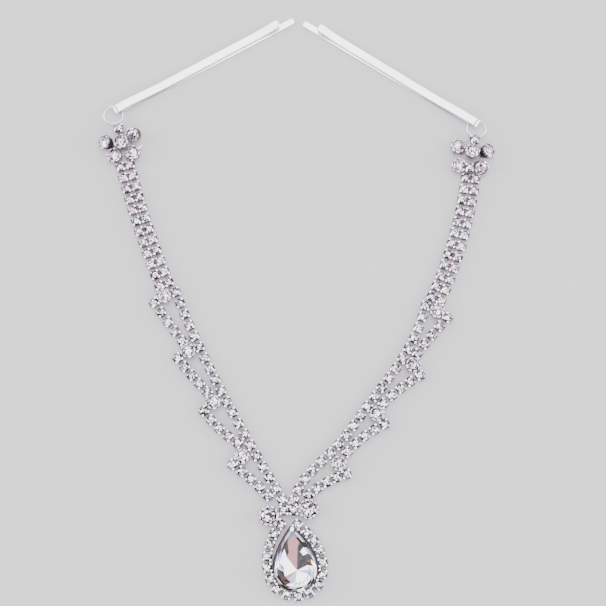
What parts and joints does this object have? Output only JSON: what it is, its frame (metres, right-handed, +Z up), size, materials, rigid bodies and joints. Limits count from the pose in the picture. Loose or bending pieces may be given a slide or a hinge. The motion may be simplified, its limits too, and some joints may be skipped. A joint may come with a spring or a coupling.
{
  "type": "hair chain",
  "caption": "Rhinestone forehead chain with double cup-chain sides, a pear drop with a halo of small stones, and a bobby pin at each end.",
  "frame": {"origin": "middle of the laid-out chain, on the surface it lies on", "axes": "+X to the right pin, +Y from the pear drop towards the pins' tips, +Z up from the surface, out of the stones' tables"},
  "size_m": [0.1164, 0.1704, 0.0048],
  "materials": {
    "plated_metal": "bright silver-coloured plating",
    "pin_steel": "polished, faint lavender tint",
    "crystal": "clear cut glass on bright foil",
    "drop_crystal": "clear cut glass on bright foil"
  },
  "bodies": {
    "root": {"bobby_pin_left": "pin_steel", "jump_ring_left": "plated_metal", "rosette_setting_left": "plated_metal", "band_settings_left": "plated_metal", "garland_settings_left": "plated_metal", "rosette_stone_left_centre": "crystal", "rosette_stone_left_top": "crystal", "rosette_stone_left_petal_1": "crystal", "rosette_stone_left_petal_2": "crystal", "rosette_stone_left_petal_3": "crystal", "rosette_stone_left_petal_4": "crystal", "band_stones_left": "crystal", "garland_stones_left": "crystal", "accent_stone_left_1": "crystal", "accent_stone_left_2": "crystal", "accent_stone_left_3": "crystal", "accent_stone_left_4": "crystal", "bow_stone_left": "crystal", "bobby_pin_right": "pin_steel", "jump_ring_right": "plated_metal", "rosette_setting_right": "plated_metal", "band_settings_right": "plated_metal", "garland_settings_right": "plated_metal", "rosette_stone_right_centre": "crystal", "rosette_stone_right_top": "crystal", "rosette_stone_right_petal_1": "crystal", "rosette_stone_right_petal_2": "crystal", "rosette_stone_right_petal_3": "crystal", "rosette_stone_right_petal_4": "crystal", "rosette_stone_right_low": "crystal", "band_stones_right": "crystal", "garland_stones_right": "crystal", "accent_stone_right_1": "crystal", "accent_stone_right_2": "crystal", "accent_stone_right_3": "crystal", "accent_stone_right_4": "crystal", "bow_stone_right": "crystal", "centre_setting": "plated_metal", "bow_small_stones": "crystal", "halo_stones": "crystal", "pear_crystal": "drop_crystal"}
  },
  "joints": []
}
